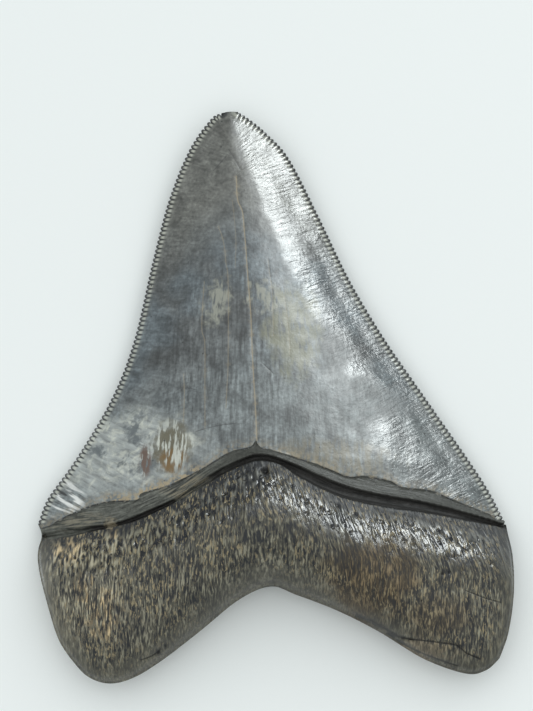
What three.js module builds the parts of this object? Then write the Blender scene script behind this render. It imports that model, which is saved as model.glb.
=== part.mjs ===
import * as THREE from 'three';
import { ParametricGeometry } from 'three/addons/geometries/ParametricGeometry.js';
import { mergeGeometries, mergeVertices } from 'three/addons/utils/BufferGeometryUtils.js';

// A fossil shark tooth, one solid piece. It lies on its flat outer face with its domed inner
// face up: a triangular crown that points along +Y, and below it a thick root with two lobes.
// Millimetres, +Z up.

// Driving dimensions
const EDGE_LEVEL = 2.8; // height of the crown's cutting edges above the table
const RIM_LEVEL = 5.6; // height of the root's widest line above the table
const CROWN_RISE = 10.4; // crest of the crown above the cutting edges, at the crown's base
const CROWN_SWELL = 0.62; // how soon the crown thickens below its tip
const TIP_SWELL = 0.2; // the crown's end is thicker by this much
const TIP_SHARE = 0.4; // over this share of the crown's length
const CREST_ROUNDING = [0.05, 1, 2.2]; // of the crest at the tip, half-way and at the base
const SHOULDER_HEIGHT = 17.4; // top of the root, in the middle
const SHOULDER_DROP = 7.5; // how much lower the root's shoulder is at its two ends
const SHOULDER_CURVE = 1.7; // power of its fall from the middle to the ends
const SHOULDER_START = -1; // the root starts to rise here, above the groove,
const SHOULDER_WIDTH = 10.5; // and reaches its shoulder this far below it
const ROOT_SLOPE = 0.17; // fall of the root from the shoulder to its base, per mm
const ROOT_ROUNDING = 7.5; // width of the root's rounded rim on the inner face
const UNDER_ROUNDING = 6; // and on the outer face
const GROOVE_DEPTH = 1.1; // groove between crown and root
const GROOVE_WIDTH = 1.3;
const GROOVE_FADE = 4; // it runs out over this distance from the rim
const BEVEL_WIDTH = 9; // width of the strip where the outer face rises to the cutting edges
const ARCH_RISE = 1.1; // hollow of the outer face between the crown and the lobes
const ARCH_FRONT = 11; // the hollow ends here towards the tip
const ARCH_BACK = -31.5; // and here on the lobes
const NOTCH_X = -0.6; // a gap under the root's notch: its middle,
const NOTCH_WIDTH = 4.5; // its half width,
const NOTCH_FRONT = -16; // and where it ends towards the crown
const NOTCH_BACK = -31.5;
const TIP_LIFT = 1.8; // the crown's end curves up by this much
const LIFT_LENGTH = 24;

// Grid of each face: columns from the left side to the right, and rows from the base to the tip,
// with one row along the groove
const COLUMNS = 30;
const ROOT_ROWS = 17;
const CROWN_ROWS = 25;
const EVEN_SPACING = 0.45; // share of even spacing in a grid that closes up towards the rim
const RIM_SAMPLES = 260;
const HALVINGS = 24; // steps to find the groove in a column

const curve = (...points) => new THREE.SplineCurve(points.map(([x, y]) => new THREE.Vector2(x, y)));

// The outline from above, X across and Y towards the tip, zero in the middle of the crown's base.
// Each side runs from the outer corner of its lobe, round the root and up the cutting edge.
const leftSide = curve(
  [-31.4, -41.2], [-33.4, -38], [-35.5, -31.6], [-36.9, -25.5], [-37.2, -20], [-35.8, -16], [-31.7, -9.9],
  [-26.2, 0], [-22.7, 9.8], [-19.9, 23.2], [-17.4, 33.5], [-14.1, 42], [-10.6, 47.1]
);
const rightSide = curve(
  [34.1, -41.3], [35.6, -37.3], [36.6, -31.4], [36.7, -25.5], [36, -20], [32.6, -13.1], [24.1, 0],
  [17.7, 9.8], [12.1, 19.8], [7.4, 30.1], [2.4, 40.3], [-1.6, 44.9], [-4.4, 47.2]
);
const base = curve(
  [-31.4, -41.2], [-28.7, -44], [-25.3, -45.1], [-21.6, -44.2], [-17.2, -41.5], [-11.4, -37], [-5.6, -32.3],
  [-0.8, -30.3], [3.2, -31.6], [9.4, -34], [15.7, -37.2], [22.6, -41.4], [28.9, -43.6], [32, -43.1],
  [34.1, -41.3]
);
const tip = curve([-10.6, 47.1], [-8.6, 48.1], [-6.3, 48.3], [-4.4, 47.2]);
const TIP_Y = 48.3;

// The groove between crown and root, from left to right: a blunt chevron with its peak in the middle
const groove = [
  [-38, -21.3], [-30, -21.6], [-24.2, -21.1], [-16.9, -18.4], [-11.5, -15.4], [-6.5, -12.7], [-2.2, -11.4],
  [2.2, -12.7], [11.3, -16.1], [22.2, -17.6], [37, -20]
];
const GROOVE_PEAK_Y = -11.4;
const MIDDLE_X = -2.2; // the tooth's middle line leans a little to one side
const HALF_WIDTH = 38;

const { clamp, lerp, smoothstep } = THREE.MathUtils;

// Y of the groove at a given X
function grooveY(x) {
  const next = groove.findIndex(([corner]) => corner > x);
  const i = next < 0 ? groove.length - 1 : Math.max(next, 1);
  const [x0, y0] = groove[i - 1];
  const [x1, y1] = groove[i];
  return lerp(y0, y1, (x - x0) / (x1 - x0));
}

// Distances from a point to the outline's stretches
const samples = {
  left: leftSide.getSpacedPoints(RIM_SAMPLES),
  right: rightSide.getSpacedPoints(RIM_SAMPLES),
  base: base.getSpacedPoints(RIM_SAMPLES),
  tip: tip.getSpacedPoints(RIM_SAMPLES / 10),
};
const distanceTo = (points, p) => Math.sqrt(Math.min(...points.map((q) => q.distanceToSquared(p))));

// A point of the grid: the four curves of the outline, blended across and along (a Coons patch)
function planPoint(across, along) {
  const [l, r, b, t] = [
    leftSide.getPointAt(along), rightSide.getPointAt(along), base.getPointAt(across), tip.getPointAt(across)
  ];
  const blend = (axis) => {
    const corners = lerp(
      lerp(base.points.at(0)[axis], base.points.at(-1)[axis], across),
      lerp(tip.points.at(0)[axis], tip.points.at(-1)[axis], across),
      along
    );
    return lerp(l[axis], r[axis], across) + lerp(b[axis], t[axis], along) - corners;
  };
  return new THREE.Vector2(blend('x'), blend('y'));
}

// Grid spacing that closes up towards both ends of 0 to 1
const spacing = (t) => lerp((1 - Math.cos(Math.PI * t)) / 2, t, EVEN_SPACING);

// How far along its column the grid meets the groove, found by halving
function grooveAlong(across) {
  let [low, high] = [0, 1];
  for (let step = 0; step < HALVINGS; step += 1) {
    const middle = (low + high) / 2;
    const p = planPoint(across, middle);
    if (p.y < grooveY(p.x)) low = middle;
    else high = middle;
  }
  return (low + high) / 2;
}

// A grid point: v counts the rows from 0 to 1, with the groove where the root's rows end
const GROOVE_ROW = ROOT_ROWS / (ROOT_ROWS + CROWN_ROWS);
function gridPoint(across, v) {
  const atGroove = grooveAlong(across);
  const along = v < GROOVE_ROW
    ? atGroove * spacing(v / GROOVE_ROW)
    : lerp(atGroove, 1, spacing((v - GROOVE_ROW) / (1 - GROOVE_ROW)));
  return planPoint(across, along);
}

// What a height depends on: the distance to the rim, the place between the two sides, and the
// distance below the groove
function describe(p, onRim) {
  const left = distanceTo(samples.left, p);
  const right = distanceTo(samples.right, p);
  const rim = onRim ? 0 : Math.min(left, right, distanceTo(samples.base, p), distanceTo(samples.tip, p));
  const side = (left - right) / (left + right);
  return { rim, side: onRim ? Math.sign(side) || 1 : side, below: grooveY(p.x) - p.y };
}

// Share of the root in a height: 0 on the crown, 1 past the shoulder. It rises soon and eases out.
function rootShare(below) {
  const t = clamp((below - SHOULDER_START) / (SHOULDER_WIDTH - SHOULDER_START), 0, 1);
  return (t * (2 - t) + smoothstep(t, 0, 1)) / 2;
}
const rimHeight = (below) => lerp(EDGE_LEVEL, RIM_LEVEL, rootShare(below));

// Quarter-round rise from 0 at the rim to 1 at the given width
const rounding = (rim, width) => Math.sqrt(1 - (1 - Math.min(rim / width, 1)) ** 2);

// The crown across its width, from 0 at the cutting edges to 1 on the crest: two flanks that meet
// in a keel at the tip, in a rounded crest half-way down and in a low dome at the base
function crownShape(side, along) {
  const [tipCrest, middleCrest, baseCrest] = CREST_ROUNDING;
  const upper = (middleCrest - tipCrest) * smoothstep(along, 0.05, 0.5);
  const lower = (baseCrest - middleCrest) * smoothstep(along, 0.6, 1);
  const crest = tipCrest + upper + lower;
  return (Math.hypot(1, crest) - Math.hypot(side, crest)) / (Math.hypot(1, crest) - crest);
}

// The inner face: the crown, then the groove and the bulging root
function innerHeight(p, { rim, side, below }) {
  const along = clamp((TIP_Y - p.y) / (TIP_Y - GROOVE_PEAK_Y), 0, 1);
  const thicker = TIP_SWELL * Math.sin(Math.PI * Math.min(along / TIP_SHARE, 1)) ** 2;
  const rise = CROWN_RISE * along ** CROWN_SWELL + thicker;
  const crown = EDGE_LEVEL + rise * crownShape(side, along);

  const sideways = Math.min(Math.abs(p.x - MIDDLE_X) / HALF_WIDTH, 1);
  const fall = ROOT_SLOPE * Math.max(below - SHOULDER_WIDTH, 0);
  const shoulder = SHOULDER_HEIGHT - SHOULDER_DROP * sideways ** SHOULDER_CURVE - fall;
  const root = lerp(RIM_LEVEL, shoulder, rounding(rim, ROOT_ROUNDING));

  const cut = GROOVE_DEPTH * Math.exp(-((below / GROOVE_WIDTH) ** 2)) * Math.min(rim / GROOVE_FADE, 1);
  return lerp(crown, root, rootShare(below)) - cut;
}

// The outer face: flat, turned up at the rim, hollow between the crown and the lobes, and with a gap
// under the notch
function outerHeight(p, { rim, below }) {
  const bevel = EDGE_LEVEL * (1 - Math.min(rim / BEVEL_WIDTH, 1)) ** 2;
  const turn = RIM_LEVEL * (1 - rounding(rim, UNDER_ROUNDING));
  const middle = clamp((p.y - ARCH_BACK) / (ARCH_FRONT - ARCH_BACK), 0, 1);
  const arch = ARCH_RISE * Math.sin(Math.PI * middle) ** 2 * Math.min(rim / BEVEL_WIDTH, 1);
  const inwards = smoothstep(p.y, NOTCH_BACK, NOTCH_FRONT);
  const gap = Math.exp(-(((p.x - NOTCH_X) / NOTCH_WIDTH) ** 2)) * (1 - inwards);
  return lerp(lerp(bevel, turn, rootShare(below)) + arch, RIM_LEVEL, gap);
}

function face(height, flip) {
  const point = (u, v, target) => {
    const across = flip ? 1 - u : u;
    const onRim = u === 0 || u === 1 || v === 0 || v === 1;
    const p = gridPoint(spacing(across), v);
    const where = describe(p, onRim);
    const lift = TIP_LIFT * Math.max((p.y - TIP_Y) / LIFT_LENGTH + 1, 0) ** 2;
    target.set(p.x, p.y, lift + (onRim ? rimHeight(where.below) : height(p, where)));
  };
  const geometry = new ParametricGeometry(point, COLUMNS, ROOT_ROWS + CROWN_ROWS);
  geometry.deleteAttribute('normal');
  geometry.deleteAttribute('uv');
  return geometry;
}

function toothGeometry() {
  const faces = mergeGeometries([face(innerHeight, false), face(outerHeight, true)]);
  const solid = mergeVertices(faces, 1e-4);
  solid.computeVertexNormals();
  return solid;
}

const fossil = new THREE.MeshStandardMaterial({ color: 0x6d6c68, roughness: 0.45, metalness: 0 });

const tooth = new THREE.Mesh(toothGeometry(), fossil);
tooth.name = 'tooth';

// The origin is the middle of the tooth's base, on the table
const box = new THREE.Box3().setFromObject(tooth);
const centre = box.getCenter(new THREE.Vector3());
tooth.position.set(-centre.x, -centre.y, -box.min.z);

const group = new THREE.Group();
group.add(tooth);

export default group;
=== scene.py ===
import math

import bpy
import numpy as np
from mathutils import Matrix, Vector, geometry, kdtree


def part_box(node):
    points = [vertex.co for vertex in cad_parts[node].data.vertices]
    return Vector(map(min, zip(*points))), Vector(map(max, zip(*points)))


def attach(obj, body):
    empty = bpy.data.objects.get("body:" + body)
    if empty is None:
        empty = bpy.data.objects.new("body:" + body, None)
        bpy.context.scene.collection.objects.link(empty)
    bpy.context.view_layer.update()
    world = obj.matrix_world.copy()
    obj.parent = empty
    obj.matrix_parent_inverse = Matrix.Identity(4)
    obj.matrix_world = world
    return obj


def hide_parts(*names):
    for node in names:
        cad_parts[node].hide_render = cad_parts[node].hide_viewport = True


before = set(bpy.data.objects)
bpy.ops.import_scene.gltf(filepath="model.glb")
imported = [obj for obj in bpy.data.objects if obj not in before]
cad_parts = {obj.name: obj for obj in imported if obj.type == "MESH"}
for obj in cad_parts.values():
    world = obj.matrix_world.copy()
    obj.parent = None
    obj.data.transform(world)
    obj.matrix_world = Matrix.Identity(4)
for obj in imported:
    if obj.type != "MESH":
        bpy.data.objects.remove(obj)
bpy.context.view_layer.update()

# ---------------------------------------------------------------------------------------------
# The tooth: a fossil shark tooth lying on its flat outer face. It grew as one piece and is now stone
# throughout: glossy enamel over the crown, a thin dull band below it, a furrow and a porous root.
# Its plan is drawn in millimetres, X across and Y to the tip, with zero near its middle.
# ---------------------------------------------------------------------------------------------

# The outline from above. Each edge runs up from the crown's corner to the tip, and each root side
# runs up from the outer corner of its lobe to the crown.
LEFT_EDGE = [(-37.2, -20), (-35.8, -16), (-31.7, -9.9), (-26.2, 0), (-22.7, 9.8), (-19.9, 23.2),
             (-17.4, 33.5), (-14.1, 42), (-10.6, 47.1), (-9, 48)]
RIGHT_EDGE = [(36, -20), (32.6, -13.1), (24.1, 0), (17.7, 9.8), (12.1, 19.8), (7.4, 30.1),
              (2.4, 40.3), (-1.6, 44.9), (-4.4, 47.2), (-6.1, 48.25)]
LEFT_ROOT = [(-31.4, -41.2), (-33.4, -38), (-35.5, -31.6), (-36.7, -27), (-36.9, -24.4), (-36.5, -22),
             (-37.2, -20)]
RIGHT_ROOT = [(34.1, -41.3), (35.6, -37.3), (36.6, -31.4), (36.7, -25.5), (36.2, -21.7), (36, -20)]
BASE = [(-31.4, -41.2), (-28.7, -44), (-25.3, -45.1), (-21.6, -44.2), (-17.2, -41.5), (-11.4, -37),
        (-5.6, -32.3), (-0.8, -30.3), (3.2, -31.6), (9.4, -34), (15.7, -37.2), (22.6, -41.4),
        (28.9, -43.6), (32, -43.1), (34.1, -41.3)]
TIP = [(-9, 48), (-7.6, 48.3), (-6.1, 48.25)]
TIP_Y = 48.3

# Lines across the inner face, from left to right: where the enamel ends, and the top and the
# bottom of the furrow, whose bottom is the root's upper edge
ENAMEL_END = [(-37, -20.9), (-35.2, -20.6), (-33.2, -19.6), (-29.1, -18.1), (-25.6, -17.5), (-21.4, -17.6),
              (-20.6, -16.6), (-16.2, -15.5), (-11.6, -13.4), (-7.3, -10.9), (-4.7, -10.2), (-3.7, -9.9),
              (-3, -9.1), (-2.3, -10.1), (1.9, -11.3), (7.5, -13.1), (11, -14.4), (13.7, -14.2),
              (17.5, -14.7), (19.6, -15.6), (24.1, -15.8), (27, -16.8), (32.1, -18.4), (36.3, -19.7)]
FURROW_TOP = [(-37.2, -21.5), (-30, -21.3), (-24.2, -20.9), (-19.2, -19.2), (-14.9, -17.3), (-9.7, -14),
              (-5.4, -11.9), (-2.1, -11.1), (2.2, -12.4), (6.8, -14.4), (11.3, -16), (16.7, -17),
              (22.2, -17.6), (28.6, -18.7), (36.5, -20.2)]
ROOT_TOP = [(-37.2, -22.4), (-32.5, -22.8), (-26.1, -21.9), (-21.4, -21), (-16.8, -19.1), (-11.5, -16.4),
            (-7.7, -14.2), (-3.1, -12.4), (0.6, -12.9), (3.7, -15), (9.7, -17.8), (15.8, -19),
            (22, -19.6), (29.9, -20.4), (36.5, -20.9)]
# Where the enamel ends on the outer face
OUTER_ENAMEL_END = [(-37.2, -21), (-18, -20), (-2, -17.6), (16, -19.4), (36.3, -20.4)]

# Heights, as the solid has them
EDGE_LEVEL = 2.8  # of the cutting edges
RIM_LEVEL = 5.6  # of the root's rim
CROWN_RISE = 10.4
CROWN_SWELL = 0.62  # how soon the crown thickens below its tip
TIP_SWELL = 0.2  # extra thickness of this share of the crown, next to the tip
TIP_SHARE = 0.4
CREST_ROUNDING = (0.05, 1, 2.2)  # of the crown's crest at the tip, half-way and at the base
SHOULDER_HEIGHT = 17.4  # the root's highest level, at its middle
SHOULDER_DROP = 7.5  # and how much lower it is at its ends
SHOULDER_START, SHOULDER_WIDTH = -1, 10.5
ROOT_SLOPE = 0.17  # past the shoulder, down towards the base
ROOT_ROUNDING = 7.5
UNDER_ROUNDING = 6
BEVEL_WIDTH = 9
ARCH_RISE = 1.1  # the hollow across the face that it lies on
ARCH_SPAN = (-31.5, 11)
NOTCH_HOLLOW = (-0.6, 4.5)  # the gap under the root's notch: its middle and half width
NOTCH_SPAN = (-31.5, -16)  # it runs in from the base to here
TIP_LIFT = 1.8  # the crown curves up this much over its last stretch
LIFT_LENGTH = 24
MIDDLE_X = -2.2  # of the root
HALF_WIDTH = 38
PEAK_Y = -11.4  # of the furrow

# Fine shape
SERRATION_PITCH = 0.78
SERRATION_DEPTH = 0.38
SERRATION_LENGTH = 1.3  # the notches run this far in over the faces
SERRATION_RELIEF = 0.4
SERRATED_ABOVE = -20  # the crown's corners
BEAD_INSET, BEAD_WIDTH = 0.75, 0.32  # where the painted glint of the pale bead sits, at the foot of each serration
SWELL_RELIEF, DIMPLE_RELIEF = 0.1, 0.04  # of the enamel's uneven surface
FLUTE_INSET, FLUTE_WIDTH, FLUTE_DEPTH = 3.2, 1.3, 0.12  # the shallow hollow along each cutting edge
LIP_STEP = 0.28  # the enamel's thickness where it ends
LIP_HALF_WIDTH = 0.09
FURROW_MARGIN = 0.3  # the root's shoulder is measured from this far above the furrow
FURROW_DEPTH = 1.2
FURROW_STRANDS = 0.07
FURROW_LIPS = 0.16  # the raised rims of the furrow
STRAND_LEAN = 0.32  # the root's strands lean to the right as they run down from the furrow
LEAN_END = 9  # as far as this below it
LEAN_SPAN = (-8, 4)  # from here to the right
STRAND_WIDTH = 0.55
STRAND_RELIEF = 0.13
OUTER_GRAIN = 0.12
PORE_COUNT = 130

STEPS_PER_SERRATION = 8
FINE = 0.21  # spacing of the mesh on the root, and near the furrow
PLAN_REACH = (38, 49)  # the plan lies within this far of its middle, sideways and lengthways
CURVE_STEP = 0.1  # spacing of points on a curve that distances are measured to
EDGE_ROWS = (0.14, 0.32, 0.55, 0.85, 1.2)  # rows of mesh points inside the cutting edges


def smooth_curve(points, spacing):
    """Even points along a smooth curve through the given ones."""
    given = np.array(points, float)
    padded = np.vstack([given[:1], given, given[-1:]])
    t = (np.arange(60) / 60)[:, None]
    parts = [
        0.5 * (2 * b + (c - a) * t + (2 * a - 5 * b + 4 * c - d) * t**2 + (3 * b - a - 3 * c + d) * t**3)
        for a, b, c, d in zip(padded, padded[1:], padded[2:], padded[3:])
    ]
    dense = np.vstack(parts + [given[-1:]])
    run = np.concatenate([[0], np.cumsum(np.linalg.norm(np.diff(dense, axis=0), axis=1))])
    stops = np.linspace(0, run[-1], max(round(run[-1] / spacing), 1) + 1)
    return np.column_stack([np.interp(stops, run, dense[:, 0]), np.interp(stops, run, dense[:, 1])])


def smoothstep(value, low, high):
    t = np.clip((value - low) / (high - low), 0, 1)
    return t * t * (3 - 2 * t)


def mix(a, b, share):
    return a + (b - a) * share


def bumps(u, v, seed):
    """Smooth random heights from -1 to 1, about one bump for each unit of u and v."""
    period = 256
    heights = np.random.default_rng(seed).uniform(-1, 1, (period, period))
    column, row = np.floor(u).astype(int), np.floor(v).astype(int)
    a, b = smoothstep(u - column, 0, 1), smoothstep(v - row, 0, 1)
    column, row, column_after, row_after = (index % period for index in (column, row, column + 1, row + 1))
    low = mix(heights[column, row], heights[column_after, row], a)
    high = mix(heights[column, row_after], heights[column_after, row_after], a)
    return mix(low, high, b)


def bumps_along(u, seed):
    """The same along one direction."""
    return bumps(u, 0 * u, seed)


def nearest(points, line):
    """Each point's distance to a line given by close points, and the index of the nearest one."""
    tree = kdtree.KDTree(len(line))
    for index, (x, y) in enumerate(line):
        tree.insert((x, y, 0), index)
    tree.balance()
    found = [tree.find((x, y, 0)) for x, y in points]
    return np.array([f[2] for f in found]), np.array([f[1] for f in found])


def line_y(line, x):
    """Y of a line across the face, at each x."""
    dense = smooth_curve(line, 0.2)
    return np.interp(x, dense[:, 0], dense[:, 1])


# Serrated cutting edges: rounded teeth with narrow notches between them
def serration(run):
    """0 in a notch, 1 on the crest of a serration, at a distance along the edge."""
    return np.abs(np.sin(np.pi * run / SERRATION_PITCH)) ** 0.7


def edge_with_rows(points, inward, rows):
    """The serrated edge, and rows of points that follow it over the face."""
    chords = np.linalg.norm(np.diff(smooth_curve(points, 1), axis=0), axis=1)
    length = SERRATION_PITCH * round(np.sum(chords) / SERRATION_PITCH)
    line = smooth_curve(points, SERRATION_PITCH / STEPS_PER_SERRATION)
    along = np.gradient(line, axis=0)
    along /= np.linalg.norm(along, axis=1)[:, None]
    normal = inward * np.column_stack([along[:, 1], -along[:, 0]])
    run = np.linspace(0, length, len(line))
    inset = SERRATION_DEPTH * (1 - serration(run))
    offsets = [inset] + [row + inset * (1 - row / EDGE_ROWS[-1]) for row in rows]
    return [line + normal * offset[:, None] for offset in offsets]


left_lines = edge_with_rows(LEFT_EDGE, 1, EDGE_ROWS)
right_lines = edge_with_rows(RIGHT_EDGE, -1, EDGE_ROWS)
left_root, right_root = smooth_curve(LEFT_ROOT, 0.25), smooth_curve(RIGHT_ROOT, 0.25)
base, tip = smooth_curve(BASE, 0.25), smooth_curve(TIP, 0.12)
outline = np.vstack([
    left_lines[0][:0:-1], left_root[:0:-1], base[:-1], right_root[:-1], right_lines[0][:-1], tip[:0:-1]
])
EDGE_SAMPLE = 0.03
left_edge, right_edge = smooth_curve(LEFT_EDGE, EDGE_SAMPLE), smooth_curve(RIGHT_EDGE, EDGE_SAMPLE)
left_side = np.vstack([smooth_curve(LEFT_ROOT, CURVE_STEP), left_edge])
right_side = np.vstack([smooth_curve(RIGHT_ROOT, CURVE_STEP), right_edge])
rim_line = np.vstack([left_side, right_side, smooth_curve(BASE, CURVE_STEP), smooth_curve(TIP, CURVE_STEP)])

# Hairlines, cracks and scratches, each with its colour, half width and depth: ochre ones are
# filled with clay, dark ones are open
HAIRLINES = [
    ("ochre", 0.15, 0.05, [(-6.3, 36), (-6.1, 32), (-5.3, 29.8), (-5, 26.8), (-4.7, 23), (-4.4, 18.5),
                           (-3.9, 12), (-3.7, 6.8), (-3.5, 2.7), (-3.2, -2.5), (-3, -6.4), (-2.9, -8.9)]),
    ("ochre", 0.11, 0.03, [(-9.2, 27.3), (-8.6, 25.8), (-8.1, 23.4), (-7.9, 21), (-7.5, 17.6), (-7.4, 5),
                           (-7.5, 1), (-7.7, -3.5)]),
    ("ochre", 0.11, 0.03, [(-11.3, 17.8), (-11.5, 14.4), (-11.6, 9.8), (-11.1, 7.3), (-11, 0),
                           (-10.9, -6.8)]),
    ("ochre", 0.11, 0.03, [(-14.4, 2.5), (-14.2, -1), (-14.3, -5.2)]),
    ("ochre", 0.11, 0.02, [(-6.9, 31.6), (-6.5, 27.7), (-6.3, 24), (-6.4, 20)]),
    ("ochre", 0.11, 0.02, [(-1.2, 21.5), (-0.8, 18), (-0.5, 15.4), (-0.3, 8.4)]),
    ("ochre", 0.11, 0.02, [(1.4, 15.2), (2.1, 8.4), (2.2, 5)]),
    ("dark", 0.11, 0.04, [(-7.5, 40.9), (-5.7, 37.4)]),
    ("dark", 0.11, 0.04, [(-9.9, 37.5), (-8.1, 39.6)]),
    ("dark", 0.11, 0.04, [(-13.8, 0.2), (-12.4, -0.2)]),
    ("dark", 0.11, 0.04, [(-12.2, -7.1), (-9, -6.4), (-6.3, -6.1)]),
    ("dark", 0.11, 0.04, [(-2.1, 3.8), (-0.4, 2.1)]),
    ("dark", 0.27, 0.6, [(12.2, -34.9), (14.5, -35.9), (16.5, -37), (18.5, -38.2), (20.5, -38.8)]),
    ("dark", 0.17, 0.4, [(20.3, -38.8), (24.7, -39.4), (27.2, -39.8), (28.8, -40.9), (30.8, -41.6)]),
    ("dark", 0.15, 0.3, [(17, -37.6), (19.3, -39.1), (22, -40.6), (25, -41.8), (27.5, -42.6)]),
    ("dark", 0.10, 0.2, [(28.6, -31.8), (31.5, -32.7), (34.2, -33.2)]),
    ("dark", 0.12, 0.25, [(-20.3, -42), (-18.6, -41.3), (-17.4, -40.3)]),
]

# Pores of the root, and the larger canals, most of them near the furrow: place, radius and depth
CANALS = [(-1.6, -14.1, 0.5, 0.9), (-4.4, -14.2, 0.3, 0.5), (-5.8, -15.1, 0.35, 0.6),
          (-7.6, -17.7, 0.35, 0.5), (-10.1, -21, 0.35, 0.5), (-17.8, -40.7, 0.4, 0.7),
          (-16.7, -39.8, 0.3, 0.5), (-26.4, -21, 0.5, 0.6), (-24.7, -20.8, 0.4, 0.5)]
luck = np.random.default_rng(7)
pore_x = luck.uniform(-33, 33, PORE_COUNT)
pore_y = line_y(ROOT_TOP, pore_x) - luck.gamma(1.8, 3.2, PORE_COUNT) - 0.8
pore_radius, pore_depth = luck.uniform(0.14, 0.3, PORE_COUNT), luck.uniform(0.1, 0.35, PORE_COUNT)
pores = np.vstack([np.column_stack([pore_x, pore_y, pore_radius, pore_depth]), CANALS])


def measure(plan, on_rim):
    """What the heights and the finishes depend on, for each point of the plan, in millimetres."""
    x, y = plan.T
    left, _ = nearest(plan, left_side)
    right, _ = nearest(plan, right_side)
    to_left_edge, left_index = nearest(plan, left_edge)
    to_right_edge, right_index = nearest(plan, right_edge)
    on_left = to_left_edge < to_right_edge
    rim, _ = nearest(plan, rim_line)
    rim[on_rim] = 0
    edge = np.minimum(to_left_edge, to_right_edge)
    run = EDGE_SAMPLE * np.where(on_left, left_index, right_index)
    serrated = y > SERRATED_ABOVE
    furrow_top, root_top = line_y(FURROW_TOP, x), line_y(ROOT_TOP, x)
    return {
        "x": x, "y": y, "rim": rim, "edge": edge, "run": run,
        "side": (left - right) / np.maximum(left + right, 0.01),
        "gap": (1 - serration(run)) * np.clip(1.15 - edge / SERRATION_LENGTH, 0, 1) * serrated,
        "bead_glint": serration(run) * np.exp(-(((edge - BEAD_INSET) / BEAD_WIDTH) ** 2)) * serrated,
        "lip": y - line_y(ENAMEL_END, x),
        "below": furrow_top + FURROW_MARGIN - y,
        "root": root_top - y,
        "furrow": (furrow_top - y) / (furrow_top - root_top),
    }


def root_share(m):
    """0 on the crown, 1 past the root's shoulder."""
    t = np.clip((m["below"] - SHOULDER_START) / (SHOULDER_WIDTH - SHOULDER_START), 0, 1)
    return (t * (2 - t) + smoothstep(t, 0, 1)) / 2


def rounding(rim, width):
    return np.sqrt(1 - (1 - np.minimum(rim / width, 1)) ** 2)


def rim_height(m):
    return mix(EDGE_LEVEL, RIM_LEVEL, root_share(m)) + tip_lift(m)


def tip_lift(m):
    return TIP_LIFT * np.maximum((m["y"] - TIP_Y) / LIFT_LENGTH + 1, 0) ** 2


def serration_relief(m):
    fade = np.clip(1 - m["edge"] / SERRATION_LENGTH, 0, 1) * smoothstep(m["rim"], 0, 0.3)
    return SERRATION_RELIEF * (serration(m["run"]) - 0.65) * fade * (m["y"] > SERRATED_ABOVE)


def inner_height(m):
    """The face that shows: keeled tip, domed crown, lip, furrow and bulging fibrous root."""
    along = np.clip((TIP_Y - m["y"]) / (TIP_Y - PEAK_Y), 0, 1)
    tip_crest, middle_crest, base_crest = CREST_ROUNDING
    crest = tip_crest + (middle_crest - tip_crest) * smoothstep(along, 0.05, 0.5)
    crest = crest + (base_crest - middle_crest) * smoothstep(along, 0.6, 1)
    roof = np.hypot(1, crest) - np.hypot(np.clip(m["side"], -1, 1), crest)
    thicker = TIP_SWELL * np.sin(np.pi * np.minimum(along / TIP_SHARE, 1)) ** 2
    rise = CROWN_RISE * along**CROWN_SWELL + thicker
    crown = EDGE_LEVEL + rise * roof / (np.hypot(1, crest) - crest)
    swells, dimples = bumps(m["x"] / 6, m["y"] / 7, 3), bumps(m["x"] / 2.2, m["y"] / 2.6, 4)
    crown = crown + SWELL_RELIEF * swells + DIMPLE_RELIEF * dimples
    flute = np.exp(-(((m["edge"] - FLUTE_INSET) / FLUTE_WIDTH) ** 2))
    crown = crown - FLUTE_DEPTH * flute * smoothstep(m["y"], -18, -8)
    crown = crown - LIP_STEP * smoothstep(-m["lip"], -LIP_HALF_WIDTH, LIP_HALF_WIDTH)

    sideways = np.minimum(np.abs(m["x"] - MIDDLE_X) / HALF_WIDTH, 1)
    fall = ROOT_SLOPE * np.maximum(m["below"] - SHOULDER_WIDTH, 0)
    shoulder = SHOULDER_HEIGHT - SHOULDER_DROP * sideways**1.7 - fall
    root = mix(RIM_LEVEL, shoulder, rounding(m["rim"], ROOT_ROUNDING))

    in_furrow = np.sin(np.pi * np.clip(m["furrow"], 0, 1)) ** 0.5
    sway = m["furrow"] * 19 + 2.5 * bumps_along(m["x"] / 4, 18)
    strands = FURROW_STRANDS * np.sin(sway) * in_furrow * (1 + bumps(m["x"] / 1.5, m["furrow"] * 2, 19))
    upper_lip = np.exp(-(((m["below"] - 0.2) / 0.16) ** 2))
    lower_lip = 0.6 * np.exp(-(((m["root"] - 0.1) / 0.2) ** 2))
    chipped = smoothstep(m["rim"], 0.3, 2) * (1 + 0.6 * bumps_along(m["x"] / 0.9, 17))
    strands = strands + FURROW_LIPS * (upper_lip + lower_lip) * chipped
    height = mix(crown, root, root_share(m)) - FURROW_DEPTH * in_furrow + strands
    height = height + fibres(m) * smoothstep(m["root"], 0, 1.2)
    height = mix(rim_height(m) - tip_lift(m), height, smoothstep(m["rim"], 0, 0.6))
    return height + serration_relief(m) + tip_lift(m)


def fibres(m):
    """Relief of the root: grains below the furrow that draw out into long fibres towards the base."""
    m["lean"] = STRAND_LEAN * np.clip(m["root"], 0, LEAN_END) * smoothstep(m["x"], *LEAN_SPAN)
    sway = 0.5 * bumps(m["x"] / 3, m["y"] / 3, 11)
    across = (m["x"] - m["lean"]) / STRAND_WIDTH + sway
    draw = smoothstep(m["root"], 3, 11)
    m["fibre"] = mix(bumps(across, m["root"] / 1.8, 12), bumps(across, m["root"] / 2.8, 13), draw)
    calm = mix(0.35, 1, smoothstep(m["rim"], 1.5, 6.5))
    lumps = 0.14 * bumps(m["x"] / 4.5, m["y"] / 4.5, 14) + 0.08 * bumps(m["x"] / 1.9, m["y"] / 2.4, 15)
    return STRAND_RELIEF * m["fibre"] * calm + lumps


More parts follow.
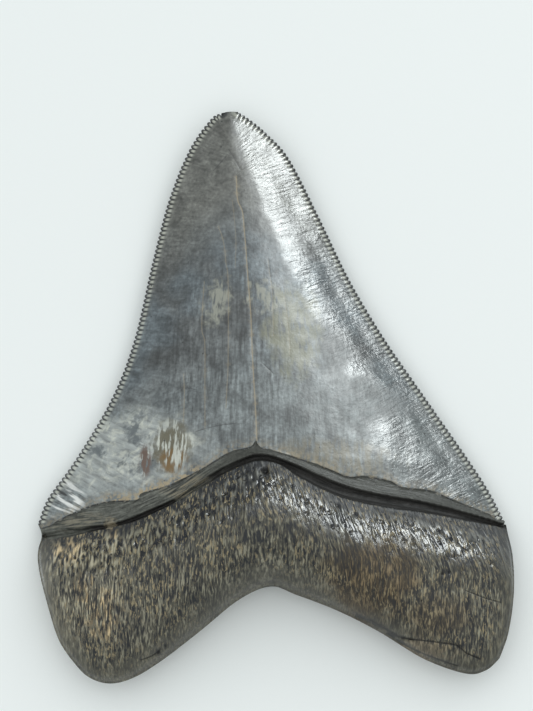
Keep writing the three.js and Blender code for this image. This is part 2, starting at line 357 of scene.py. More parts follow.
def outer_height(m):
    """The face it lies on: nearly flat, turned up at the rim, hollow between crown and lobes."""
    share = root_share(m)
    bevel = EDGE_LEVEL * (1 - np.minimum(m["rim"] / BEVEL_WIDTH, 1)) ** 2
    turn = RIM_LEVEL * (1 - rounding(m["rim"], UNDER_ROUNDING))
    middle = np.clip((m["y"] - ARCH_SPAN[0]) / (ARCH_SPAN[1] - ARCH_SPAN[0]), 0, 1)
    arch = ARCH_RISE * np.sin(np.pi * middle) ** 2 * np.minimum(m["rim"] / BEVEL_WIDTH, 1)
    bare = smoothstep(line_y(OUTER_ENAMEL_END, m["x"]) - m["y"], 0, 1)
    grain = np.abs(bumps(m["x"] / 0.8, m["y"] / 3, 21)) * bare
    relief = OUTER_GRAIN * grain * smoothstep(m["rim"], 0, 2)
    face = mix(bevel, turn, share) + arch + relief
    notch_middle, notch_half_width = NOTCH_HOLLOW
    gap = np.exp(-(((m["x"] - notch_middle) / notch_half_width) ** 2)) * (1 - smoothstep(m["y"], *NOTCH_SPAN))
    return mix(face, RIM_LEVEL, gap) - serration_relief(m) + tip_lift(m)


def lattice(spacing):
    """A triangular lattice of points over the whole plan."""
    rows = np.arange(-300, 300)
    column, row = np.meshgrid(rows, rows)
    points = np.column_stack([(column + row / 2).ravel() * spacing, row.ravel() * spacing * math.sqrt(3) / 2])
    return points[(np.abs(points) < PLAN_REACH).all(1)]


def inside(points, loop):
    """Which points are inside a closed loop."""
    x, y = points.T
    odd = np.zeros(len(points), bool)
    for (x0, y0), (x1, y1) in zip(loop, np.roll(loop, -1, axis=0)):
        crosses = (y0 > y) != (y1 > y)
        odd ^= crosses & (x < x0 + (y - y0) * (x1 - x0) / (y1 - y0 if y1 != y0 else 1))
    return odd


def ribbon(line, offsets):
    """Rows of points along both sides of a line."""
    along = np.gradient(line, axis=0)
    normal = np.column_stack([-along[:, 1], along[:, 0]]) / np.linalg.norm(along, axis=1)[:, None]
    return [line + normal * offset for offset in offsets]


def spread(sets):
    """All the points of some sets, leaving out those of a later set that crowd an earlier one."""
    kept = np.zeros((0, 2))
    for points, room in sets:
        if len(kept) and len(points):
            distance, _ = nearest(points, kept)
            points = points[distance > room]
        kept = np.vstack([kept, points])
    return kept


def triangulate(lines, rows, fill):
    """Triangles that fill the outline. They keep to the lines, which run across from side to side."""
    loop = outline[::12]
    chains = []
    for line in lines:
        line = line[inside(line, loop)]
        chains.append(line[nearest(line, outline)[0] > 0.15])
    taken = np.vstack([outline] + chains)
    extra = spread([(taken, 0)] + [(row[inside(row, loop)], 0.06) for row in rows]
                   + [(points[inside(points, loop)], room) for points, room in fill])
    points = [Vector(p) for p in extra]
    edges = [(i, (i + 1) % len(outline)) for i in range(len(outline))]
    first = len(outline)
    for chain in chains:
        ends = nearest(chain[[0, -1]], outline)[1]
        inner = list(range(first, first + len(chain)))
        edges += list(zip([int(ends[0])] + inner, inner + [int(ends[1])]))
        first += len(chain)
    made, _, faces, sources, _, _ = geometry.delaunay_2d_cdt(points, edges, [], 1, 1e-5)
    rim = np.array([min(s) if s and min(s) < len(outline) else -1 for s in sources])
    return np.array([tuple(p) for p in made]), np.array(faces), rim


near_edge_lines = left_lines[1:] + right_lines[1:]
both_edges = np.vstack([left_edge, right_edge])
fine, coarse = lattice(FINE), lattice(2 * FINE)
fine = fine[nearest(fine, both_edges)[0] > EDGE_ROWS[-1] + 0.08]
coarse = coarse[nearest(coarse, both_edges)[0] > EDGE_ROWS[-1] + 0.15]
on_root = fine[:, 1] < line_y(ENAMEL_END, fine[:, 0]) + 0.6
hairline_rows = [
    row for _, width, _, points in HAIRLINES
    for row in ribbon(smooth_curve(points, 0.22), (0, -width, width))
]
ragged = smooth_curve(ENAMEL_END, FINE)
ragged[:, 1] += 0.2 * bumps_along(ragged[:, 0] / 0.9, 31) + 0.1 * bumps_along(ragged[:, 0] / 0.5, 32)
root_top_line = smooth_curve(ROOT_TOP, FINE)
root_top_line[:, 1] += 0.2 * bumps_along(root_top_line[:, 0] / 1.1, 33)
inner_plan, inner_faces, inner_rim = triangulate(
    [ragged, root_top_line],
    ribbon(ragged, (-0.1, 0.1)) + near_edge_lines + hairline_rows,
    [(fine[on_root], FINE * 0.6), (coarse, FINE * 1.1)],
)
outer_rows = [line[::2] for line in (left_lines[2], left_lines[4], left_lines[5],
                                     right_lines[2], right_lines[4], right_lines[5])]
outer_root = lattice(2 * FINE)
outer_root = outer_root[outer_root[:, 1] < line_y(OUTER_ENAMEL_END, outer_root[:, 0]) + 0.6]
outer_plan, outer_faces, outer_rim = triangulate(
    [smooth_curve(OUTER_ENAMEL_END, 2 * FINE)],
    outer_rows,
    [(outer_root, FINE * 1.1), (lattice(4 * FINE), FINE * 2.2)],
)
inner_measure = measure(inner_plan, np.zeros(len(inner_plan), bool))
outer_measure = measure(outer_plan, np.zeros(len(outer_plan), bool))
rim_measure = measure(outline, np.ones(len(outline), bool))
inner_z, outer_z, rim_z = inner_height(inner_measure), outer_height(outer_measure), rim_height(rim_measure)

# Hairlines and pores are cut into the inner face, and darkest where they are at least this deep
FULL_STAIN, FULL_HOLLOW = 0.05, 0.35
stain = {"ochre": np.zeros(len(inner_plan)), "dark": np.zeros(len(inner_plan))}
for colour, width, depth, points in HAIRLINES:
    line = smooth_curve(points, 0.08)
    distance, _ = nearest(inner_plan, line)
    distance = distance + 0.3 * width * bumps(inner_plan[:, 0] / 0.6, inner_plan[:, 1] / 0.6, 41)
    amount = np.clip(1.6 - 1.6 * distance / width, 0, 1)
    stain[colour] = np.maximum(stain[colour], amount * min(depth / FULL_STAIN, 1))
    inner_z -= depth * amount
hollow = np.zeros(len(inner_plan))
for x, y, radius, depth in pores:
    near = np.exp(-((inner_plan[:, 0] - x) ** 2 + (inner_plan[:, 1] - y) ** 2) / radius**2)
    hollow = np.maximum(hollow, near * min(depth / FULL_HOLLOW, 1))
    inner_z -= depth * near

# One closed mesh: the rim's points, then the inner face's own, then the outer face's own
own_inner, own_outer = inner_rim < 0, outer_rim < 0
inner_index = np.where(own_inner, len(outline) + np.cumsum(own_inner) - 1, inner_rim)
first_outer = len(outline) + own_inner.sum()
outer_index = np.where(own_outer, first_outer + np.cumsum(own_outer) - 1, outer_rim)
plan = np.vstack([outline, inner_plan[own_inner], outer_plan[own_outer]])
height = np.concatenate([rim_z, inner_z[own_inner], outer_z[own_outer]])

solid_low, solid_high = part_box("tooth")
plan_low, plan_high = plan.min(0), plan.max(0)
scale = (solid_high.y - solid_low.y) / (plan_high[1] - plan_low[1])
middle = (plan_low + plan_high) / 2
solid_middle = (solid_low + solid_high) / 2
x = (plan[:, 0] - middle[0]) * scale + solid_middle.x
y = (plan[:, 1] - middle[1]) * scale + solid_middle.y
z = np.maximum(height, 0) * scale + solid_low.z


def turned(plan, faces, up):
    """Faces wound so that they all look up, or all down."""
    a, b, c = plan[faces].transpose(1, 0, 2)
    looks_up = (b - a)[:, 0] * (c - a)[:, 1] - (b - a)[:, 1] * (c - a)[:, 0] > 0
    return np.where((looks_up == up)[:, None], faces, faces[:, ::-1])


triangles = np.vstack([
    inner_index[turned(inner_plan, inner_faces, True)],
    outer_index[turned(outer_plan, outer_faces, False)],
])
mesh = bpy.data.meshes.new("tooth_skin")
mesh.from_pydata(np.column_stack([x, y, z]).tolist(), [], triangles.tolist())
mesh.shade_smooth()

# What the finishes below follow, stored with each point of the mesh
MEASURES = ("side", "edge", "run", "rim", "lip", "below", "root", "furrow", "gap", "bead_glint")
painted = {name: (rim_measure[name], inner_measure[name], outer_measure[name]) for name in MEASURES}
inner_only = {**stain, "hollow": hollow, "fibre": inner_measure["fibre"], "lean": inner_measure["lean"]}
for name, values in inner_only.items():
    painted[name] = (np.zeros(len(outline)), values, np.zeros(len(outer_plan)))
for name, (on_rim, on_inner, on_outer) in painted.items():
    values = np.concatenate([on_rim, on_inner[own_inner], on_outer[own_outer]]).astype(np.float32)
    mesh.attributes.new(name, "FLOAT", "POINT").data.foreach_set("value", values)

ENAMEL, BAND, ROOT = 0, 1, 2
middle_inner = inner_plan[inner_faces].mean(1)
ragged_y = np.interp(middle_inner[:, 0], ragged[:, 0], ragged[:, 1])
root_top_y = np.interp(middle_inner[:, 0], root_top_line[:, 0], root_top_line[:, 1])
inner_finish = np.where(middle_inner[:, 1] > ragged_y, ENAMEL,
                        np.where(middle_inner[:, 1] > root_top_y, BAND, ROOT))
middle_outer = outer_plan[outer_faces].mean(1)
outer_finish = np.where(middle_outer[:, 1] > line_y(OUTER_ENAMEL_END, middle_outer[:, 0]), ENAMEL, ROOT)
mesh.polygons.foreach_set("material_index", np.concatenate([inner_finish, outer_finish]).astype(np.int32))

tooth = bpy.data.objects.new("fossil_tooth", mesh)
bpy.context.scene.collection.objects.link(tooth)


class Finish:
    """A procedural finish. Its methods add nodes and give back their outputs."""

    def __init__(self, name):
        self.material = bpy.data.materials.new(name)
        self.material.use_nodes = True
        self.tree = self.material.node_tree
        self.shader = self.tree.nodes["Principled BSDF"]
        place = self.tree.nodes.new("ShaderNodeTexCoord").outputs["Object"]
        self.place = self.add("ShaderNodeVectorMath", {0: place, "Scale": 1000}, operation="SCALE")

    def add(self, kind, inputs, **settings):
        node = self.tree.nodes.new(kind)
        for name, value in settings.items():
            setattr(node, name, value)
        for key, value in inputs.items():
            self.put(value, node.inputs[key])
        return node.outputs[0]

    def put(self, value, socket):
        if isinstance(value, bpy.types.NodeSocket):
            self.tree.links.new(value, socket)
        elif isinstance(value, tuple) and socket.type == "RGBA":
            socket.default_value = (*value, 1)
        else:
            socket.default_value = value

    def measured(self, name):
        node = self.tree.nodes.new("ShaderNodeAttribute")
        node.attribute_name = name
        return node.outputs["Fac"]

    def math(self, operation, a, b=0.0, c=0.0):
        return self.add("ShaderNodeMath", {0: a, 1: b, 2: c}, operation=operation)

    def rise(self, value, low, high):
        """0 below low and 1 above high, or the other way round if low is more than high."""
        turned = low > high
        inputs = {"Value": value, "From Min": min(low, high), "From Max": max(low, high)}
        inputs.update({"To Min": 1.0, "To Max": 0.0} if turned else {"To Min": 0.0, "To Max": 1.0})
        return self.add("ShaderNodeMapRange", inputs, interpolation_type="SMOOTHSTEP")

    def shade(self, colour, pattern, low, high):
        """Multiplies a colour by low where a pattern is 0.3 and by high where it is 0.7."""
        inputs = {"Value": pattern, "From Min": 0.3, "From Max": 0.7, "To Min": low, "To Max": high}
        factor = self.add("ShaderNodeMapRange", inputs)
        return self.add("ShaderNodeVectorMath", {0: colour, 1: factor}, operation="MULTIPLY")

    def times(self, *values):
        result = values[0]
        for value in values[1:]:
            result = self.math("MULTIPLY", result, value)
        return result

    def noise(self, size, detail=3.0, at=None, stretch=(1, 1, 1), rough=0.55, twist=0.0):
        """Noise from 0 to 1 with features of a size in millimetres, drawn out along an axis by stretch."""
        along = tuple(1 / (size * s) for s in stretch)
        vector = self.add("ShaderNodeVectorMath", {0: at or self.place, 1: along}, operation="MULTIPLY")
        inputs = {"Vector": vector, "Scale": 1.0, "Detail": detail, "Roughness": rough, "Distortion": twist}
        return self.add("ShaderNodeTexNoise", inputs)

    def point(self, x, y, z=0.0):
        return self.add("ShaderNodeCombineXYZ", {0: x, 1: y, 2: z})

    def axis(self, index):
        """X, Y or Z of a point, in millimetres."""
        node = self.tree.nodes.new("ShaderNodeSeparateXYZ")
        self.put(self.place, node.inputs[0])
        return node.outputs[index]

    def spots(self, size, radius):
        """Scattered round spots, 1 in their middle: size is their spacing, radius a share of it."""
        vector = self.add("ShaderNodeVectorMath", {0: self.place, "Scale": 1 / size}, operation="SCALE")
        distance = self.add("ShaderNodeTexVoronoi", {"Vector": vector, "Scale": 1.0}, feature="F1")
        return self.rise(distance, radius, radius * 0.4)

    def patch(self, centre, radii, ragged=0.5, size=2.5):
        """A ragged patch, 1 in its middle, at a place on the plan."""
        spot = self.add("ShaderNodeVectorMath", {0: self.place, 1: on_plan(*centre)}, operation="SUBTRACT")
        shrink = (1 / radii[0], 1 / radii[1], 0.0)
        spot = self.add("ShaderNodeVectorMath", {0: spot, 1: shrink}, operation="MULTIPLY")
        length = self.tree.nodes.new("ShaderNodeVectorMath")
        length.operation = "LENGTH"
        self.put(spot, length.inputs[0])
        wander = self.math("MULTIPLY", self.math("SUBTRACT", self.noise(size), 0.5), ragged * 2)
        return self.rise(self.math("ADD", length.outputs["Value"], wander), 1.0, 0.45)

    def blend(self, share, under, over):
        node = self.tree.nodes.new("ShaderNodeMix")
        node.data_type = "RGBA"
        for value, index in ((share, 0), (under, 6), (over, 7)):
            self.put(value, node.inputs[index])
        return node.outputs[2]

    def bump(self, height, depth, under=None):
        """Fine relief of a depth in millimetres."""
        node = self.tree.nodes.new("ShaderNodeBump")
        self.put(height, node.inputs["Height"])
        node.inputs["Distance"].default_value = depth / 1000
        if under:
            self.put(under, node.inputs["Normal"])
        return node.outputs["Normal"]

    def coat(self, colour, roughness, normal, index):
        self.put(colour, self.shader.inputs["Base Color"])
        self.put(roughness, self.shader.inputs["Roughness"])
        self.put(normal, self.shader.inputs["Normal"])
        self.shader.inputs["IOR"].default_value = index
        return self.material


def on_plan(plan_x, plan_y):
    """A place on the plan as the finished mesh has it, in its millimetres, on the table."""
    return ((plan_x - middle[0]) * scale * 1000 + solid_middle.x * 1000,
            (plan_y - middle[1]) * scale * 1000 + solid_middle.y * 1000, 0.0)


# Enamel: glassy slate grey, mottled, with fine upright lines in the middle and strokes square to
# the cutting edges beside them. It is bleached low on the left, with rust runs there and painted
# glints and painted shade on folds at its corner, and has clay in its cracks and along its ragged end.
SLATE, BLUE_SLATE, WARM_GREY = (0.076, 0.082, 0.083), (0.094, 0.112, 0.122), (0.118, 0.118, 0.105)
LOW_GREY, PALE_GREY, CHARCOAL = (0.118, 0.132, 0.134), (0.280, 0.285, 0.240), (0.020, 0.021, 0.022)
# the last white here is a painted glint, for the folds at the crown's lower left corner
BLEACHED, CREAM, PAINTED_GLINT_WHITE = (0.400, 0.425, 0.415), (0.660, 0.670, 0.580), (0.800, 0.810, 0.790)
OLIVE, CLAY, UMBER = (0.195, 0.195, 0.130), (0.380, 0.300, 0.180), (0.165, 0.145, 0.095)
DRAB, RUST, PLUM = (0.120, 0.105, 0.060), (0.170, 0.095, 0.022), (0.130, 0.085, 0.065)
# The right flank turns glossy this far over to the side: less far towards the tip
GLOSS_START, GLOSS_SLOPE, GLOSS_MOST = 0.68, 0.0126, 0.56


def enamel():
    f = Finish("enamel")
    side, edge, run, lip = (f.measured(name) for name in ("side", "edge", "run", "lip"))
    middle_part = f.rise(f.math("ABSOLUTE", side), 0.85, 0.45)
    beside = f.rise(edge, 13.0, 3.0)
    from_edge = f.point(run, edge)
    upright = f.noise(0.5, 3, stretch=(1, 24, 1))
    streaks = f.noise(0.7, 3, stretch=(1, 5, 1))
    strokes = f.noise(0.6, 4, at=from_edge, stretch=(1, 5, 1), twist=0.5)
    cloud, grain, swirl = f.noise(3.4, 5, twist=0.8), f.noise(0.5, 4), f.noise(3.2, 6, twist=1.2, rough=0.7)
    left_flank_sheen = f.times(f.rise(side, -0.15, -0.9), f.rise(lip, 32, 12))

    colour = f.blend(f.rise(f.noise(12, 2), 0.42, 0.6), SLATE, BLUE_SLATE)
    colour = f.blend(f.times(f.rise(lip, 32, 46), 0.9), colour, WARM_GREY)
    colour = f.blend(f.rise(lip, 24, 8), colour, LOW_GREY)
    # painted sheen: the left flank is lightened low down, as if it reflected more of the pale room
    colour = f.blend(left_flank_sheen, colour, f.shade(colour, left_flank_sheen, 1.0, 1.3))
    colour = f.shade(colour, cloud, 0.52, 1.55)
    colour = f.shade(colour, grain, 0.68, 1.38)
    colour = f.blend(f.times(f.rise(lip, 40, 25), middle_part), colour, f.shade(colour, upright, 0.5, 1.65))
    colour = f.blend(beside, colour, f.shade(colour, strokes, 0.72, 1.32))

    left_tan = f.patch((-9.4, 14.4), (2.7, 4.8), 1.0, 1.6)
    right_tan = f.patch((-1.6, 14.9), (3.6, 3.2), 1.0, 1.6)
    tan = f.math("MAXIMUM", left_tan, right_tan)
    colour = f.blend(f.times(tan, f.rise(streaks, 0.38, 0.54)), colour, PALE_GREY)
    olive = f.patch((2.8, 9.5), (5.4, 9.5), 0.7, 2.5)
    colour = f.blend(f.times(olive, f.rise(streaks, 0.3, 0.56), 0.9), colour, OLIVE)
    colour = f.blend(f.times(f.patch((9, -11.5), (13, 4.2)), f.rise(streaks, 0.36, 0.6), 0.85), colour, UMBER)

    # the bleached corner, then painted glints on folds at the crown's lower left corner, with painted shade
    # between them
    bleach = f.patch((-24.5, -9.5), (15, 8.5), 0.5, 5)
    colour = f.blend(f.times(bleach, 0.8), colour, f.shade(BLEACHED, strokes, 0.55, 1.35))
    colour = f.blend(f.times(bleach, f.rise(swirl, 0.46, 0.7), 0.8), colour, CREAM)
    colour = f.blend(f.times(bleach, f.rise(f.noise(4, 5, rough=0.65), 0.48, 0.36), 0.85), colour, BLUE_SLATE)
    # painted glints: white strokes where the folds would catch the light, and painted shade in the folds
    # between them
    folds = f.noise(0.95, 2, at=from_edge, stretch=(1, 7, 1))
    painted_light_corner = f.patch((-33.2, -16.2), (4.6, 3.6), 0.4)
    colour = f.blend(f.times(painted_light_corner, f.rise(folds, 0.5, 0.6)), colour, PAINTED_GLINT_WHITE)
    colour = f.blend(f.times(painted_light_corner, f.rise(folds, 0.45, 0.36), 0.9), colour, CHARCOAL)

    # rust runs
    drips = f.rise(f.noise(0.55, 3, stretch=(1, 9, 1)), 0.42, 0.54)
    gaps = f.math("SUBTRACT", 1.0, drips)
    runs = f.patch((-16.2, -9.2), (3.9, 5.2), 0.4, 1.2)
    colour = f.blend(f.times(runs, gaps, 0.6), colour, CREAM)
    colour = f.blend(f.times(runs, drips, 0.9), colour, DRAB)
    colour = f.blend(f.times(f.patch((-15.7, -11.6), (2.8, 2.6), 0.35, 0.9), drips, 0.95), colour, RUST)
    plum = f.patch((-20.2, -11.4), (1.3, 3.4), 0.3, 0.9)
    colour = f.blend(f.times(plum, f.rise(streaks, 0.4, 0.5)), colour, PLUM)

    # clay and dark line along the ragged end, painted glints on the serrations' beads with painted shade in
    # the notches between them, cracks and pits
    fringe = f.math("MAXIMUM", f.patch((-17, -15.4), (15, 4.5)), f.times(f.noise(6, 2), 0.8))
    clay = f.times(f.rise(lip, 2.2, 0.2), f.rise(f.noise(0.6, 4), 0.42, 0.56), fringe)
    colour = f.blend(f.times(clay, 0.9), colour, CLAY)
    colour = f.blend(f.times(f.rise(lip, 0.2, 0.03), f.rise(grain, 0.38, 0.52)), colour, CHARCOAL)
    # painted glint on the bead of each serration, then painted shade in the notches between serrations
    colour = f.blend(f.times(f.measured("bead_glint"), 0.75), colour, CREAM)
    colour = f.blend(f.times(f.rise(f.measured("gap"), 0.05, 0.35), 0.95), colour, CHARCOAL)
    colour = f.blend(f.times(f.rise(edge, 0.6, 0.15), 0.85), colour, CHARCOAL)
    pits = f.times(f.spots(1.7, 0.12), f.rise(f.noise(5, 1), 0.42, 0.6))
    colour = f.blend(f.times(pits, 0.9), colour, CHARCOAL)
    colour = f.blend(f.times(f.measured("ochre"), 0.7), colour, CLAY)
    colour = f.blend(f.times(f.measured("dark"), 0.85), colour, CHARCOAL)

    # its right flank is glossy, except for a stretch low on it, and the rest is duller
    glossy_from = f.math("MINIMUM", f.math("MULTIPLY_ADD", f.axis(1), -GLOSS_SLOPE, GLOSS_START), GLOSS_MOST)
    wavering = f.math("ADD", side, f.times(f.noise(4, 3), 0.16))
    within = f.math("SUBTRACT", wavering, f.math("ADD", glossy_from, 0.08))
    dull = f.math("MAXIMUM", f.rise(within, 0.06, -0.05), f.patch((14, -1.5), (8, 5), 0.4, 5))
    dull = f.math("MAXIMUM", dull, f.patch((7.6, 5.5), (5, 7), 0.3, 5))
    rough = f.math("ADD", 0.1, f.times(f.noise(2.2, 5), 0.32))
    rough = f.math("ADD", rough, f.times(dull, 0.2))
    normal = f.bump(upright, 0.02)
    normal = f.bump(f.times(strokes, beside, f.rise(lip, 62, 46)), 0.11, normal)
    normal = f.bump(f.times(f.noise(2.4, 3), f.rise(lip, 60, 46)), 0.11, normal)
    normal = f.bump(grain, 0.03, normal)
    return f.coat(colour, rough, normal, index=1.6)


# Band and furrow: the bare dull collar under the enamel, grey and layered, then the furrow with its glinting
# lips, painted near black: partly its own dark colour and partly painted shade in the groove
BAND_GREY, BAND_TAN, FURROW_DARK_AND_SHADE = (0.060, 0.062, 0.054), (0.250, 0.215, 0.150), (0.013, 0.012, 0.011)


def band():
    f = Finish("band")
    furrow, below = f.measured("furrow"), f.measured("below")
    x = f.axis(0)
    along = f.point(x, below)
    layers = f.noise(0.36, 4, at=along, stretch=(9, 1, 1), twist=0.3)
    grain = f.noise(0.5, 4)
    colour = f.shade(BAND_GREY, grain, 0.7, 1.35)
    left = f.rise(x, -4.0, -14.0)
    colour = f.blend(left, colour, f.shade(colour, layers, 0.2, 3.0))
    faint_tan = f.times(f.patch((-31, -20.2), (6.5, 1.6)), 0.6)
    tan = f.math("MAXIMUM", f.patch((-13.5, -15.6), (5.5, 2.6)), faint_tan)
    colour = f.blend(f.times(tan, f.rise(layers, 0.46, 0.6), 0.85), colour, BAND_TAN)
    inside_furrow = f.rise(f.math("ADD", furrow, f.times(layers, 0.4)), 0.05, 0.3)
    still_open = f.math("MAXIMUM", f.math("SUBTRACT", 1.0, left), f.rise(f.noise(7, 1), 0.42, 0.52))
    # the furrow's near black is partly its own dark colour and partly painted shade in the groove
    furrow_dark_and_shade = f.shade(FURROW_DARK_AND_SHADE, layers, 0.0, 2.2)
    colour = f.blend(f.times(inside_furrow, still_open, 0.97), colour, furrow_dark_and_shade)
    colour = f.blend(f.times(f.patch((-25.3, -21.5), (1.1, 1.8), 0.8, 0.8), 0.8), colour, BAND_TAN)
    rough = f.math("ADD", 0.32, f.times(grain, 0.25))
    rough = f.math("ADD", rough, f.times(inside_furrow, 0.2))
    normal = f.bump(layers, 0.14)
    return f.coat(colour, rough, f.bump(grain, 0.05, normal), index=1.38)


# Root: porous bone turned to dark stone. Grains below the furrow draw out into upright fibres, tan
# and grey on black, clay stained on the left and brown on the right, worn smooth at its lower rim.
ROOT_GREY, ROOT_PALE, ROOT_BROWN = (0.070, 0.066, 0.049), (0.130, 0.120, 0.088), (0.058, 0.041, 0.021)
ROOT_SLATE, ROOT_CLAY, STRAND_TAN = (0.034, 0.036, 0.036), (0.230, 0.165, 0.085), (0.320, 0.260, 0.150)
# the blue black is the dark between the strands, and also painted shade just below the furrow
ROOT_TAN, PORE_BLACK, GAP_AND_SHADE_BLUE = (0.150, 0.120, 0.080), (0.006, 0.006, 0.006), (0.010, 0.012, 0.016)
CLAY_STAINS = [((-32, -25.2), (3.2, 3.2)), ((-26, -36), (3.6, 4.6)), ((-29, -31.5), (2.6, 2.6)),
               ((-24.8, -22.6), (1.0, 1.6))]  # place and radii


def root():
    f = Finish("root")
    root, rim, fibre = f.measured("root"), f.measured("rim"), f.measured("fibre")
    x = f.axis(0)
    leaning = f.point(f.math("SUBTRACT", x, f.measured("lean")), f.axis(1), f.axis(2))
    long_strands = f.noise(0.25, 3, at=leaning, stretch=(1, 6, 6), twist=0.5)
    short_strands = f.noise(0.42, 0.5, at=leaning, stretch=(1, 3.6, 3.6), twist=0.3)
    depth = f.math("ADD", root, f.math("MULTIPLY_ADD", f.noise(3.5, 4), 9.0, -4.5))
    drawn = f.rise(depth, 3.0, 10.0)
    strands = f.add("ShaderNodeMix", {0: drawn, 2: short_strands, 3: long_strands})
    strands = f.math("ADD", f.times(strands, 0.9), f.times(f.math("ADD", fibre, 1.0), 0.05))
    smooth = f.times(f.rise(rim, 3.4, 0.8), 0.75)
    rough_part = f.math("SUBTRACT", 1.0, smooth)

    colour = f.shade(ROOT_GREY, f.noise(4, 3), 0.7, 1.35)
    colour = f.blend(f.patch((-31, -29), (12, 15), 0.4, 5), colour, ROOT_PALE)
    colour = f.blend(f.times(f.rise(depth, 9, 3), f.rise(x, -20, -8), 0.8), colour, ROOT_SLATE)
    faint_brown = f.times(f.patch((24, -35.5), (7, 4), 0.5, 3), 0.7)
    brown = f.math("MAXIMUM", f.patch((15, -30), (9.5, 8), 0.5, 4), faint_brown)
    colour = f.blend(f.times(brown, 0.9), colour, ROOT_BROWN)
    for centre, radii in CLAY_STAINS:
        clay = f.times(f.patch(centre, radii, 0.9, 1.2), f.rise(short_strands, 0.36, 0.6))
        colour = f.blend(f.times(clay, 0.6), colour, ROOT_CLAY)
    colour = f.blend(f.times(f.patch((22, -40.3), (6.5, 1.8), 0.8, 1.5), 0.6), colour, ROOT_TAN)
    worn = f.shade(colour, strands, 0.5, 1.6)
    lit = f.blend(f.rise(strands, 0.52, 0.62), colour, f.shade(colour, strands, 0.0, 3.8))
    evener = f.math("MULTIPLY_ADD", brown, -0.25, 1.0)
    split = f.blend(f.times(f.rise(strands, 0.51, 0.43), evener, 0.95), lit, GAP_AND_SHADE_BLUE)
    colour = f.blend(smooth, split, worn)
    # painted shade: the root is darkened just below the furrow, where its steep wall would lie in shade
    colour = f.blend(f.times(f.rise(root, 2.6, 0.6), 0.6), colour, GAP_AND_SHADE_BLUE)
    tan = f.rise(f.noise(0.25, 3, at=leaning, stretch=(1, 4, 4), twist=0.5), 0.55, 0.62)
    tan = f.times(tan, rough_part, evener, f.rise(f.noise(6, 2), 0.3, 0.6), 0.85)
    colour = f.blend(tan, colour, STRAND_TAN)
    pits = f.times(f.spots(1.0, 0.24), f.rise(root, 9, 3), f.rise(f.noise(3, 2), 0.4, 0.5))
    colour = f.blend(f.times(pits, 0.9), colour, PORE_BLACK)
    colour = f.blend(f.rise(f.measured("hollow"), 0.25, 0.8), colour, PORE_BLACK)
    colour = f.blend(f.times(f.measured("dark"), 0.97), colour, PORE_BLACK)

    under_furrow = f.rise(root, 3.2, 1.0)
    rough = f.math("ADD", 0.08, f.times(f.noise(0.8, 3), 0.2))
    rough = f.math("ADD", rough, f.times(f.math("MAXIMUM", under_furrow, f.rise(depth, 5, 11)), 0.35))
    relief = f.math("SUBTRACT", strands, f.times(pits, 0.3))
    normal = f.bump(f.times(relief, rough_part), 0.26)
    return f.coat(colour, rough, normal, index=1.46)


for finish in (enamel(), band(), root()):
    mesh.materials.append(finish)

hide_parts("tooth")
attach(tooth, "root")

# ---------------------------------------------------------------------------------------------
# The table: a smooth white painted top that the tooth lies on. It is not part of the tooth.
# ---------------------------------------------------------------------------------------------
TABLE_HALF = 1.5
TABLE_WHITE = (0.90, 0.925, 0.92)
table_mesh = bpy.data.meshes.new("table_top")
corners = [(a * TABLE_HALF, b * TABLE_HALF, solid_low.z) for a, b in ((-1, -1), (1, -1), (1, 1), (-1, 1))]
table_mesh.from_pydata(corners, [], [(0, 1, 2, 3)])
table = bpy.data.objects.new("table_top", table_mesh)
bpy.context.scene.collection.objects.link(table)
white = Finish("table_white")
satin = white.math("ADD", 0.6, white.times(white.noise(2), 0.1))
table_mesh.materials.append(white.coat(TABLE_WHITE, satin, white.bump(white.noise(0.8), 0.02), index=1.45))

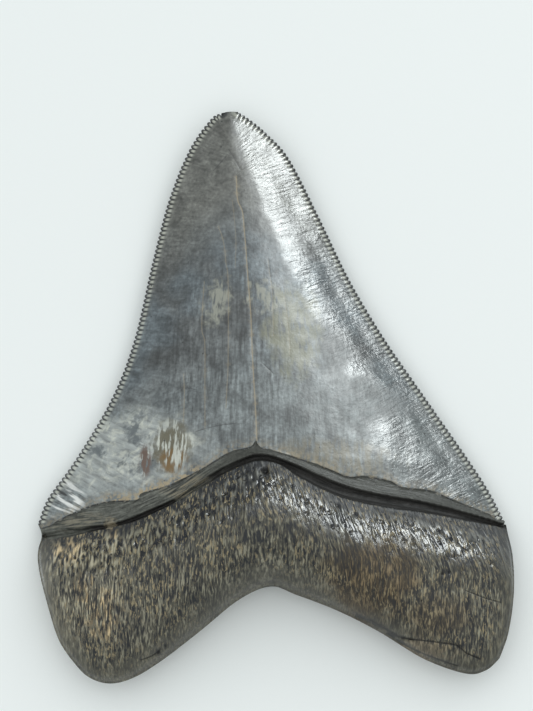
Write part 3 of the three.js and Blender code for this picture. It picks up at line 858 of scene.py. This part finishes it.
# ---------------------------------------------------------------------------------------------
# Light: a soft lamp behind the tooth on the right, low enough to shine along the crown's right
# flank, in a pale room. The camera looks down steeply from the root's side.
# ---------------------------------------------------------------------------------------------
LAMP_TURN, LAMP_HEIGHT = math.radians(38), math.radians(31)
LAMP_DISTANCE, LAMP_WIDTH, LAMP_TALL, LAMP_POWER = 0.6, 0.19, 0.28, 3.6
LAMP_COLOUR = (0.94, 1, 1)
lamp = bpy.data.objects.new("soft_lamp", bpy.data.lights.new("soft_lamp", "AREA"))
lamp.data.shape = "RECTANGLE"
lamp.data.size, lamp.data.size_y = LAMP_WIDTH, LAMP_TALL
lamp.data.energy = LAMP_POWER
lamp.data.color = LAMP_COLOUR
lamp.visible_diffuse = False  # it gives the gloss, and the room gives the light
towards_lamp = Vector((
    math.sin(LAMP_TURN) * math.cos(LAMP_HEIGHT),
    math.cos(LAMP_TURN) * math.cos(LAMP_HEIGHT),
    math.sin(LAMP_HEIGHT),
))
lamp.location = towards_lamp * LAMP_DISTANCE
lamp.rotation_euler = towards_lamp.to_track_quat("Z", "Y").to_euler()
bpy.context.scene.collection.objects.link(lamp)

# The room is brighter overhead than at table level
OVERHEAD, AT_TABLE = (1.17, 1.22, 1.22), (0.36, 0.38, 0.38)
WALLS_END, OVERHEAD_STARTS = 0.3, 0.85  # heights, 1 straight up
room = bpy.data.worlds.new("pale_room")
room.use_nodes = True
nodes, links = room.node_tree.nodes, room.node_tree.links
height_in_room = nodes.new("ShaderNodeSeparateXYZ")
links.new(nodes.new("ShaderNodeTexCoord").outputs["Generated"], height_in_room.inputs[0])
rise_overhead = nodes.new("ShaderNodeMapRange")
rise_overhead.interpolation_type = "SMOOTHSTEP"
rise_overhead.inputs["From Min"].default_value = WALLS_END
rise_overhead.inputs["From Max"].default_value = OVERHEAD_STARTS
links.new(height_in_room.outputs["Z"], rise_overhead.inputs["Value"])
walls = nodes.new("ShaderNodeMix")
walls.data_type = "RGBA"
walls.inputs[6].default_value, walls.inputs[7].default_value = (*AT_TABLE, 1), (*OVERHEAD, 1)
links.new(rise_overhead.outputs[0], walls.inputs[0])
links.new(walls.outputs[2], nodes["Background"].inputs["Color"])
bpy.context.scene.world = room
bpy.context.scene.view_settings.view_transform = "Standard"

CAMERA_HEIGHT, CAMERA_DISTANCE, LENS = math.radians(75), 0.32, 101.27
AIM_RIGHT, AIM_UP, AIM_LEVEL = -0.0012, 0.0056, 0.003
aim = solid_middle + Vector((AIM_RIGHT, AIM_UP, AIM_LEVEL - solid_middle.z))
camera = bpy.data.objects.new("camera", bpy.data.cameras.new("camera"))
camera.data.lens = LENS
back = Vector((0, -math.cos(CAMERA_HEIGHT), math.sin(CAMERA_HEIGHT)))
camera.location = aim + back * CAMERA_DISTANCE
camera.rotation_euler = back.to_track_quat("Z", "Y").to_euler()
camera.data.clip_start, camera.data.clip_end = 0.01, 10
bpy.context.scene.collection.objects.link(camera)
bpy.context.scene.camera = camera
